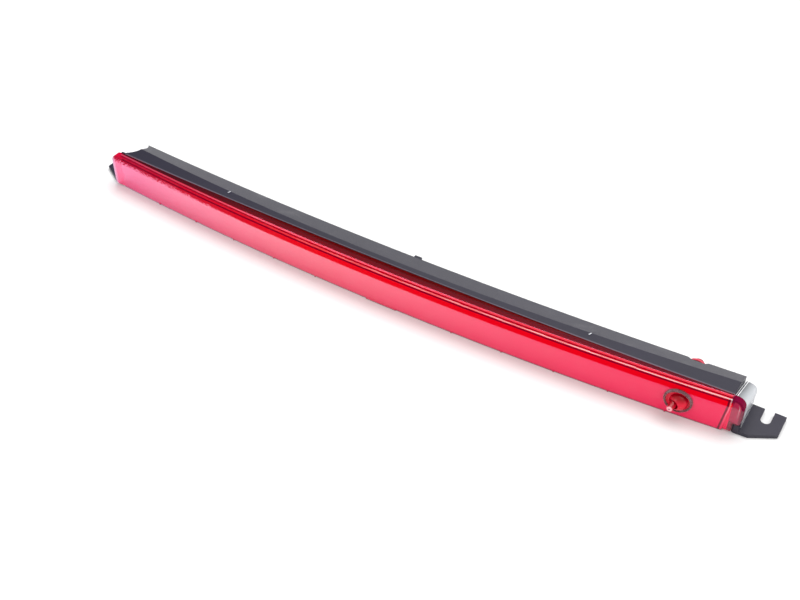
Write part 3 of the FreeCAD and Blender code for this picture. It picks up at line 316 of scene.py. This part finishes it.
def lens_masks(s):
    """Every mask that the lens's colour, haze and shine share."""
    along, _, height = s.place()
    groove_shade, bead, ridge, bottom_edge_shade = lens_lines(s, along, height)
    end_wall_shade, light_line = lens_end_lines(s, along, height)
    ear, outline, glint = ear_lines(s, along, height)
    flange = s.maths("MULTIPLY", s.ramp(s.upward(), *FLANGE_LEVEL), s.ramp(height, *FLANGE_HEIGHT))
    ragged = s.maths("MULTIPLY", s.ramp(s.noise(900.0, 3.0), 0.35, 0.65, *RAGGED_DEPTH),
                     s.ramp(along, *RAGGED_ALONG, 1.0, 0.0))
    band = s.ramp(s.maths("ADD", height, ragged), *BAND_HEIGHT)
    plain_end = s.ramp(along, *PLAIN_END_ALONG, 1.0, 0.0)
    return SimpleNamespace(along=along, height=height, groove_shade=groove_shade, bead=bead, ridge=ridge,
                           bottom_edge_shade=bottom_edge_shade, end_wall_shade=end_wall_shade, light_line=light_line, ear=ear,
                           outline=outline, glint=glint, flange=flange, band=band,
                           plain_end=plain_end)


PLAIN_RIM_ALONG = (-248.8 * MM, -246.4 * MM)


def lens_colour(s, lens):
    """Milky red, a deep red band along the top that darkens at the plain end, and the lines; the
    grooves, bottom edge, end-wall line and the ear's outline carry painted shade.
    """
    face = s.blend(s.noise(30.0, 4.0), (0.95, 0.004, 0.085, 1), (0.97, 0.008, 0.11, 1))
    band = s.blend(lens.plain_end, (0.88, 0.0012, 0.012, 1), (0.50, 0.004, 0.034, 1))
    colour = s.blend(lens.band, face, band)
    plain_rim = s.ramp(lens.along, *PLAIN_RIM_ALONG, 1.0, 0.0)
    for mask, strength, tone in (
            # Painted shade in the grooves.
            (lens.groove_shade, 1.0, (0.24, 0.0008, 0.02, 1)),
            # Painted shade along the bottom edge.
            (lens.bottom_edge_shade, 0.8, (0.22, 0.06, 0.09, 1)),
            # Painted shade along the end wall.
            (lens.end_wall_shade, 0.9, (0.12, 0.003, 0.02, 1)),
            (lens.ear, 0.85, (0.56, 0.035, 0.12, 1)),
            # Painted shade on the ear's outline.
            (lens.outline, 0.95, (0.17, 0.001, 0.03, 1)),
            (plain_rim, 0.8, (0.72, 0.50, 0.66, 1))):
        colour = s.blend(s.maths("MULTIPLY", mask, strength), colour, tone)
    return colour


SKIRT_TOP = (8.2 * MM, 9.4 * MM)
PLAIN_EAR_ALONG = (-238.5 * MM, -237.5 * MM)


def lens_inside(s, lens):
    """The body of the lens: clear and tinted on its flange and skirt, milky elsewhere."""
    deep_tint = (0.80, 0.035, 0.10, 1)
    skirt_tint = (0.95, 0.52, 0.60, 1)
    skirt = s.maths("MULTIPLY", lens.ear, s.ramp(lens.height, *SKIRT_TOP, 1.0, 0.0))
    haze = s.maths("MULTIPLY", s.fade(lens.flange, 0.88, 0.045), s.fade(lens.ear, 1.0, 0.66))
    haze = s.maths("MULTIPLY", haze, s.fade(skirt, 1.0, 0.25))
    plain_ear = s.maths("MULTIPLY", s.ramp(lens.along, *PLAIN_EAR_ALONG, 0.97, 0.0),
                        s.fade(lens.flange, 1.0, 0.0))
    haze = s.maths("MAXIMUM", haze, plain_ear)
    haze = s.maths("MAXIMUM", haze, s.maths("MULTIPLY", lens.outline, 0.9))
    clear = s.clear(s.blend(skirt, deep_tint, skirt_tint))
    return s.mix(haze, clear, s.milk(lens_colour(s, lens), Roughness=0.3))


SHEEN_ALONG = (-200 * MM, -60 * MM)
POLISH_ALONG = (-110 * MM, 130 * MM)
LIGHT_LINE_HEIGHT = (6 * MM, 26 * MM)


def lens_shine(s, lens, waviness):
    """How much of the surface mirrors: the face's sheen, the ridge, the bead and the light lines."""
    sheen = s.maths("MULTIPLY", s.ramp(s.facing(0.5), 0.26, 0.50, 0.0, 0.34),
                    s.ramp(lens.along, *SHEEN_ALONG, 1.35, 1.0))
    sheen = s.maths("MULTIPLY", sheen, s.fade(lens.band, 1.0, 0.03))
    above = s.ramp(lens.height, *RIDGE_TOP)
    share = s.maths("ADD", s.maths("MULTIPLY", sheen, s.fade(above, 1.0, 0.0)),
                    s.maths("MULTIPLY", s.fresnel(IOR=1.49, Normal=waviness),
                            s.maths("MULTIPLY", above, 0.75)))
    polished = s.maths("MULTIPLY", lens.bead, s.ramp(lens.along, *POLISH_ALONG, 0.0, 0.5))
    crest = s.maths("MULTIPLY", lens.ridge, s.fade(lens.flange, 0.10, 0.0))
    light_line = s.maths("MULTIPLY", lens.light_line,
                         s.ramp(lens.height, *LIGHT_LINE_HEIGHT, 0.04, 0.24))
    lines = s.maths("ADD", light_line, s.maths("MULTIPLY", lens.glint, 0.35))
    for extra in (polished, crest, lines):
        share = s.maths("ADD", share, extra)
    return share


def red_lens():
    """The lens: milky red in front, a polished bead and ridge, and a clear dark flange on top."""
    mirror_pink = (0.94, 0.52, 0.80, 1)
    s = Shader("red_lens")
    lens = lens_masks(s)
    waviness = s.bump(s.noise(140.0, 2.0, 0.4, (0.3, 1, 1)), 0.04, 0.15 * MM)
    smudge = s.ramp(s.noise(90.0, 4.0, 0.6), 0.45, 0.75, 0.03, 0.1)
    tint = s.blend(s.maths("MAXIMUM", lens.ridge, lens.plain_end), WHITE, mirror_pink)
    mirror = s.mirror(tint, Roughness=smudge, Normal=waviness)
    return s.finish(s.mix(lens_shine(s, lens, waviness), lens_inside(s, lens), mirror))


# ---------------------------------------------------------------- clear covers

COVER_ALONG = (240.8 * MM, 247.6 * MM)
COVER_RIMS = ((240.2 * MM, 240.7 * MM), (241.5 * MM, 241.9 * MM))
COVER_RIM_EDGE = 0.12 * MM
FOOT_RIM_HEIGHT = (3.3 * MM, 3.9 * MM)
FOOT_RIM_ALONG = (246.8 * MM, 247.4 * MM)
HAZE_HEIGHT = (7 * MM, 16 * MM)


def cover_rim_highlights(s, out, height):
    """A mask for painted highlights on the cover's rims: two beside the housing and one above the
    foot.
    """
    inner, outer = [s.pulse(out, *rim, COVER_RIM_EDGE) for rim in COVER_RIMS]
    foot = s.maths("MULTIPLY", s.ramp(height, *FOOT_RIM_HEIGHT, 1.0, 0.0),
                   s.ramp(out, *FOOT_RIM_ALONG))
    return s.maths("MAXIMUM", s.maths("MAXIMUM", inner, outer), foot)


def clear_cover():
    """Clear end cover: a painted dark reflection of the housing next to it, hazier towards its top,
    with painted highlights on its rims.
    """
    housing_reflection_grey = linear(40, 43, 49)
    far_grey = linear(190, 193, 197)
    cloud_grey = linear(205, 208, 214)
    rim_highlight_white = linear(250, 250, 252)
    clear_tint = linear(246, 247, 249)
    s = Shader("clear_cover")
    along, _, height = s.place()
    out = s.maths("ABSOLUTE", along)
    # Painted reflection: dark grey next to the housing, grading to pale further out.
    colour = s.blend(s.ramp(out, *COVER_ALONG), housing_reflection_grey, far_grey)
    colour = s.blend(s.maths("MULTIPLY", s.noise(160.0, 3.0), 0.12), colour, cloud_grey)
    rim = cover_rim_highlights(s, out, height)
    # Painted highlights on the rims.
    colour = s.blend(rim, colour, rim_highlight_white)
    haze = s.ramp(height, *HAZE_HEIGHT, 0.04, 0.95)
    haze = s.maths("ADD", haze, s.maths("MULTIPLY", s.facing(0.4), 0.12))
    haze = s.maths("MAXIMUM", haze, s.maths("MULTIPLY", rim, 0.85))
    inside = s.mix(haze, s.clear(clear_tint), s.milk(colour, Roughness=0.4))
    smudge = s.ramp(s.noise(120.0, 3.0), 0.4, 0.7, 0.10, 0.18)
    mirror = s.mirror(WHITE, Roughness=smudge)
    return s.finish(s.mix(s.maths("MULTIPLY", s.fresnel(IOR=1.45), 0.5), inside, mirror))


# ---------------------------------------------------------------- other materials

def optic_white():
    """The fluted optic behind the lens: pale, with fine upright flutes."""
    s = Shader("optic")
    wave = s.add("ShaderNodeTexWave", wave_type="BANDS", bands_direction="X")
    s.fill(wave, Vector=s.coordinates(), Scale=160.0, Distortion=0.0)
    flutes = wave.outputs["Fac"]
    colour = s.blend(flutes, linear(255, 225, 228), linear(255, 245, 245))
    return s.finish(s.principled(Base_Color=colour, Roughness=0.35,
                                 Normal=s.bump(flutes, 0.4, 0.2 * MM)))


def metallised():
    """The reflector's vacuum-metallised skin, with slightly uneven gloss."""
    s = Shader("metallised")
    rough = s.ramp(s.noise(300.0, 3.0), 0.3, 0.7, 0.12, 0.24)
    return s.finish(s.principled(Base_Color=linear(225, 225, 228), Metallic=1.0, Roughness=rough))


def simple(name, low, high, roughness, scale=200.0, metallic=0.0):
    """A plain material: two close shades mixed by noise, with matching bump and roughness."""
    s = Shader(name)
    noise = s.noise(scale, 4.0)
    rough = s.ramp(noise, 0.3, 0.7, roughness - 0.06, roughness + 0.06)
    return s.finish(s.principled(Base_Color=s.blend(noise, linear(*low), linear(*high)),
                                 Metallic=metallic, Roughness=rough,
                                 Normal=s.bump(noise, 0.15, 0.05 * MM)))


SPRAY_FACE = (0.5 * MM, 1.0 * MM)


def nozzle_red():
    """Glossy red moulding: painted shade where it faces up and where it is seen edge-on, and a painted
    highlight at the spray tip.
    """
    seen_squarely = linear(228, 8, 52)
    seen_edge_on = linear(196, 2, 34)
    top_painted_shade = linear(140, 0, 14)
    tip_painted_highlight = linear(250, 190, 200)
    s = Shader("nozzle_red")
    _, back, _ = s.place()
    noise = s.noise(400.0, 3.0)
    # Painted shade: darker where the surface is seen edge-on.
    colour = s.blend(s.facing(0.45), seen_squarely, seen_edge_on)
    # Painted shade where the surface faces up.
    colour = s.blend(s.ramp(s.upward(), 0.3, 0.75, 0.0, 0.9), colour, top_painted_shade)
    mouth, inner = [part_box("jet_tip")[0].y + depth for depth in SPRAY_FACE]
    # Painted highlight on the spray tip's face.
    colour = s.blend(s.ramp(back, mouth, inner, 0.75, 0.0), colour, tip_painted_highlight)
    return s.finish(s.principled(Base_Color=colour, Roughness=s.ramp(noise, 0.3, 0.7, 0.14, 0.26),
                                 IOR=1.5, Normal=s.bump(noise, 0.08, 0.05 * MM),
                                 Specular_IOR_Level=0.3))


def ring_grey():
    """The trim ring round the jet: smoky, half see-through, so the red lens tints it."""
    s = Shader("ring_grey")
    noise = s.noise(220.0, 3.0)
    milk = s.milk(s.blend(noise, linear(118, 84, 92), linear(150, 118, 124)))
    inside = s.mix(s.ramp(noise, 0.3, 0.7, 0.22, 0.55), s.clear(linear(215, 185, 188)), milk)
    mirror = s.mirror(WHITE, Roughness=0.16)
    return s.finish(s.mix(s.maths("MULTIPLY", s.fresnel(IOR=1.4), 0.7), inside, mirror))


def dress(material, *names):
    for name in names:
        slots = nodes[name].data.materials
        slots.clear()
        slots.append(material)


def dress_all():
    dress(red_lens(), "outer_lens")
    dress(moulded_black("housing_black", (27, 24, 41)), "rear_housing", "connector_socket", "vent_cap")
    dress(moulded_black("bracket_black", (34, 31, 47), 1500.0, 0.36),
          "end_bracket_right", "end_bracket_left")
    dress(simple("seal_rubber", (24, 24, 26), (40, 40, 42), 0.7), "lens_seal", "connector_gasket",
          "check_valve")
    dress(simple("grommet_red", (196, 40, 62), (214, 60, 84), 0.5), "stem_grommet")
    dress(optic_white(), "inner_optic")
    dress(metallised(), "reflector")
    dress(simple("board_green", (14, 70, 38), (22, 92, 50), 0.4), "circuit_board")
    dress(simple("led_resin", (235, 228, 205), (250, 244, 225), 0.3), "leds")
    dress(simple("chip_black", (20, 20, 22), (34, 34, 36), 0.5), "resistors", "driver_chip",
          "protection_diode")
    dress(simple("can_aluminium", (190, 190, 194), (215, 215, 218), 0.3, metallic=1.0), "capacitors")
    dress(simple("zinc_steel", (160, 160, 158), (196, 196, 192), 0.34, metallic=1.0),
          "board_screws", "bracket_screws")
    dress(simple("tinned_brass", (188, 172, 128), (214, 200, 160), 0.3, metallic=1.0),
          "terminal_pins")
    dress(simple("lead_red", (150, 18, 18), (176, 26, 24), 0.5), "lead_supply")
    dress(simple("lead_black", (22, 22, 22), (36, 36, 36), 0.5), "lead_ground")
    dress(simple("membrane", (215, 215, 210), (235, 235, 230), 0.8, 1500.0), "vent_membrane")
    dress(clear_cover(), "end_cap_right", "end_cap_left")
    dress(ring_grey(), "nozzle_ring")
    dress(nozzle_red(), "nozzle_body", "nozzle_turret", "jet_tip", "nozzle_stem")


# ---------------------------------------------------------------- edges

EDGE_WIDTHS = {
    0.45 * MM: ("outer_lens",),
    0.3 * MM: ("rear_housing",),
    0.25 * MM: ("end_bracket_right", "end_bracket_left", "end_cap_right", "end_cap_left",
                "connector_socket", "vent_cap"),
    0.15 * MM: ("nozzle_ring", "nozzle_body", "nozzle_turret", "nozzle_stem"),
}
EDGE_SEGMENTS = 3
SHARP_ANGLE = math.radians(28)


def soften_edges():
    """Small rounded edges, by bevel modifiers, so that sharp edges catch the light."""
    for width, names in EDGE_WIDTHS.items():
        for name in names:
            bevel = nodes[name].modifiers.new("edge", "BEVEL")
            bevel.width = width
            bevel.segments = EDGE_SEGMENTS
            bevel.limit_method = "ANGLE"
            bevel.angle_limit = SHARP_ANGLE


# ---------------------------------------------------------------- studio

FLOOR_SIZE = 6.0
FLOOR_GAP = 0.02 * MM
NEAR_FLOOR = (0.81, 0.81, 0.81, 1)
FLOOR_BRIGHTENS = (0.7, 2.2)


def studio_floor():
    """A pale floor that turns pure white with distance from the lamp."""
    mesh = bpy.data.meshes.new("studio_floor")
    half = FLOOR_SIZE / 2
    level = cad_bounds[0][2] - FLOOR_GAP
    mesh.from_pydata([(-half, -half, level), (half, -half, level), (half, half, level),
                      (-half, half, level)], [], [(0, 1, 2, 3)])
    floor = bpy.data.objects.new("studio_floor", mesh)
    bpy.context.scene.collection.objects.link(floor)
    s = Shader("studio_floor")
    away = s.add("ShaderNodeVectorMath", operation="LENGTH")
    s.link(s.coordinates(), away.inputs[0])
    shade = s.blend(s.ramp(away.outputs["Value"], *FLOOR_BRIGHTENS), NEAR_FLOOR, WHITE)
    mesh.materials.append(s.finish(s.principled(Base_Color=shade, Roughness=0.8,
                                                Specular_IOR_Level=0.0)))


# The sky's brightness by height: 0 is straight down, 0.5 the horizon, 1 straight up.
FRONT_SKY = ((0.0, 1.0), (0.49, 1.1), (0.56, 0.95), (0.75, 0.9), (1.0, 0.7))
BACK_LEFT_SKY = ((0.0, 1.0), (0.50, 1.4), (0.57, 1.2), (0.68, 0.12), (0.84, 0.1), (1.0, 0.6))
BACK_RIGHT_SKY = ((0.0, 1.0), (0.50, 1.45), (0.57, 1.25), (0.68, 0.75), (0.86, 0.8), (1.0, 0.6))
LEFT_TO_RIGHT = (-0.65, -0.05)
FRONT_TO_BACK = (-0.35, 0.25)


def studio_light():
    """A surround that is bright at floor level and dims behind the lamp, and two soft boxes."""
    world = bpy.data.worlds.new("studio")
    bpy.context.scene.world = world
    world.use_nodes = True
    tree = world.node_tree
    direction = tree.nodes.new("ShaderNodeTexCoord")
    split = tree.nodes.new("ShaderNodeSeparateXYZ")
    tree.links.new(direction.outputs["Generated"], split.inputs[0])
    front, back_left, back_right = [sky_ramp(tree, split, stops) for stops in
                                    (FRONT_SKY, BACK_LEFT_SKY, BACK_RIGHT_SKY)]
    back = mixed(tree, split.outputs["X"], *LEFT_TO_RIGHT, back_left, back_right)
    sky = mixed(tree, split.outputs["Y"], *FRONT_TO_BACK, front, back)
    tree.links.new(sky, tree.nodes["Background"].inputs["Color"])
    area_light("overhead", place=(0.1, 0.45, 1.3), target=(0.05, 0, 0), size=(2.2, 0.7), power=22)
    area_light("front", place=(-0.9, -1.3, 1.1), target=(0, 0, 0), size=(0.9, 0.7), power=5)


def mixed(tree, place, low, high, first, second):
    """Goes from the first sky to the second as a direction's coordinate goes from low to high."""
    share = tree.nodes.new("ShaderNodeMapRange")
    share.inputs["From Min"].default_value = low
    share.inputs["From Max"].default_value = high
    tree.links.new(place, share.inputs["Value"])
    mix = tree.nodes.new("ShaderNodeMix")
    mix.data_type = "RGBA"
    tree.links.new(share.outputs["Result"], mix.inputs[MIX_FACTOR])
    tree.links.new(first, mix.inputs[MIX_FIRST])
    tree.links.new(second, mix.inputs[MIX_SECOND])
    return mix.outputs[2]


def sky_ramp(tree, split, stops):
    """Brightness by height, from pairs of a height and a level."""
    height = tree.nodes.new("ShaderNodeMapRange")
    height.inputs["From Min"].default_value = -1.0
    tree.links.new(split.outputs["Z"], height.inputs["Value"])
    ramp = tree.nodes.new("ShaderNodeValToRGB")
    tree.links.new(height.outputs["Result"], ramp.inputs[0])
    elements = ramp.color_ramp.elements
    while len(elements) < len(stops):
        elements.new(0.5)
    for element, (place, level) in zip(elements, stops):
        element.position = place
        element.color = (level, level, level, 1)
    return ramp.outputs[0]


def area_light(name, place, target, size, power):
    data = bpy.data.lights.new(name, "AREA")
    data.shape = "RECTANGLE"
    data.size, data.size_y = size
    data.energy = power
    light = bpy.data.objects.new(name, data)
    light.location = place
    light.rotation_euler = (Vector(target) - Vector(place)).to_track_quat("-Z", "Y").to_euler()
    bpy.context.scene.collection.objects.link(light)


CAMERA_AZIMUTH = math.radians(31.4)
CAMERA_ELEVATION = math.radians(42.1)
CAMERA_DISTANCE = 0.7872
CAMERA_LENS_MM = 51.6
CAMERA_SENSOR_MM = 36.0
AIM_ALONG = 10.1 * MM
AIM_BEHIND_LENS = 9.1 * MM
AIM_HEIGHT = 2.15 * MM


def photo_camera():
    """The camera looks down on the lamp from the front right, a little under 0.8 m away."""
    aim = Vector((AIM_ALONG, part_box("outer_lens")[0].y + AIM_BEHIND_LENS, AIM_HEIGHT))
    back = Vector((math.sin(CAMERA_AZIMUTH) * math.cos(CAMERA_ELEVATION),
                   -math.cos(CAMERA_AZIMUTH) * math.cos(CAMERA_ELEVATION),
                   math.sin(CAMERA_ELEVATION)))
    data = bpy.data.cameras.new("photo_camera")
    data.sensor_width = CAMERA_SENSOR_MM
    data.lens = CAMERA_LENS_MM
    data.clip_start = 0.01
    camera = bpy.data.objects.new("photo_camera", data)
    camera.location = aim + back * CAMERA_DISTANCE
    camera.rotation_euler = back.to_track_quat("Z", "Y").to_euler()
    bpy.context.scene.collection.objects.link(camera)
    bpy.context.scene.camera = camera


def display():
    """Plain display colours, and enough bounces for light to pass through the clear pieces."""
    scene = bpy.context.scene
    scene.view_settings.view_transform = "Standard"
    scene.view_settings.look = "None"
    scene.cycles.max_bounces = 12
    scene.cycles.transparent_max_bounces = 24


dress_all()
soften_edges()
studio_floor()
studio_light()
photo_camera()
display()
